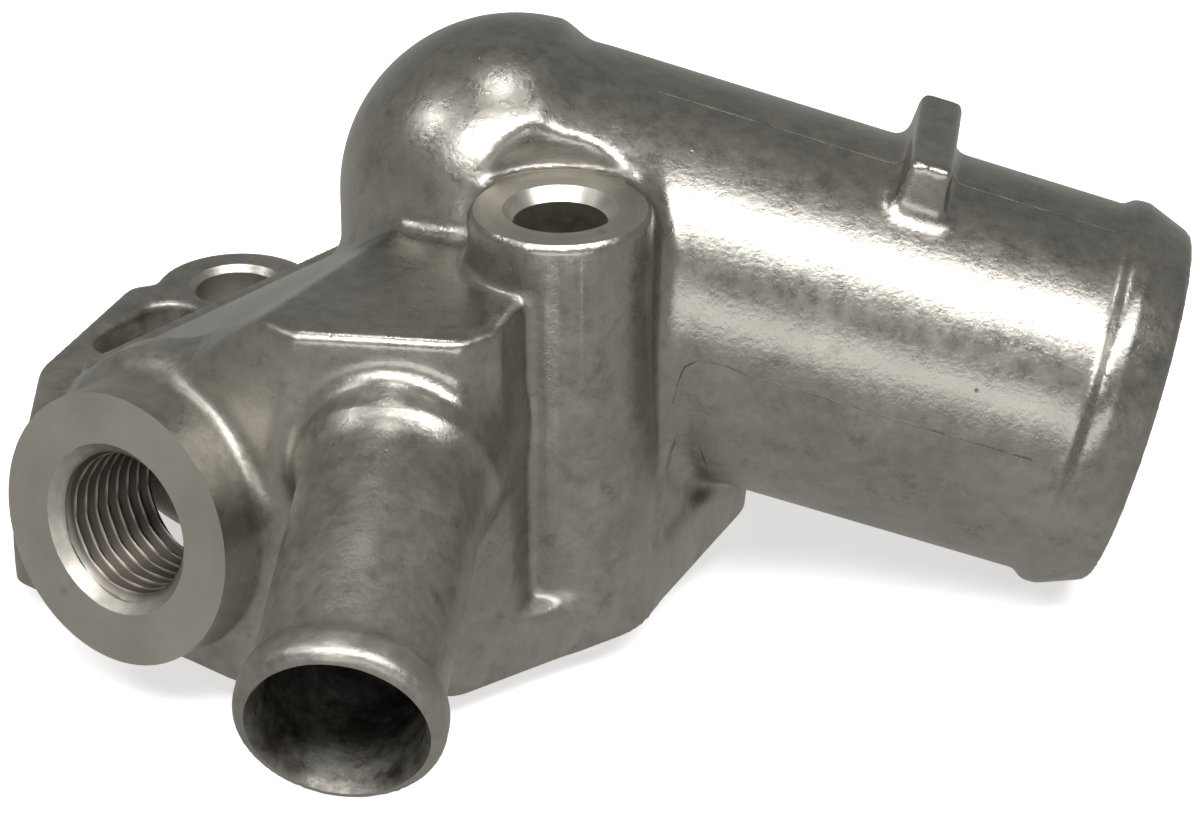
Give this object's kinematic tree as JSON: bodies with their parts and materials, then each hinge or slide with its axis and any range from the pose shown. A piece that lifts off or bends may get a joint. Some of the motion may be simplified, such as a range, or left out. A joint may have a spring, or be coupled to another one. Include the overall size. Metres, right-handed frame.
{
  "type": "thermostat housing",
  "caption": "Cast aluminium coolant outlet with a bolt-down flange, domed elbow to a large hose neck, small hose spigot, tapped sensor boss and tall bolt column.",
  "frame": {"origin": "centre of the thermostat seat, on the flat mating face", "axes": "+Z away from the mating face along the bolts; +X towards the large outlet neck; -Y towards the small hose spigot"},
  "size_m": [0.1196, 0.1131, 0.0557],
  "materials": {
    "cast_aluminium": "die-cast skin, semi-gloss, with finely turned sealing faces"
  },
  "bodies": {
    "root": {"housing_casting": "cast_aluminium"}
  },
  "joints": []
}
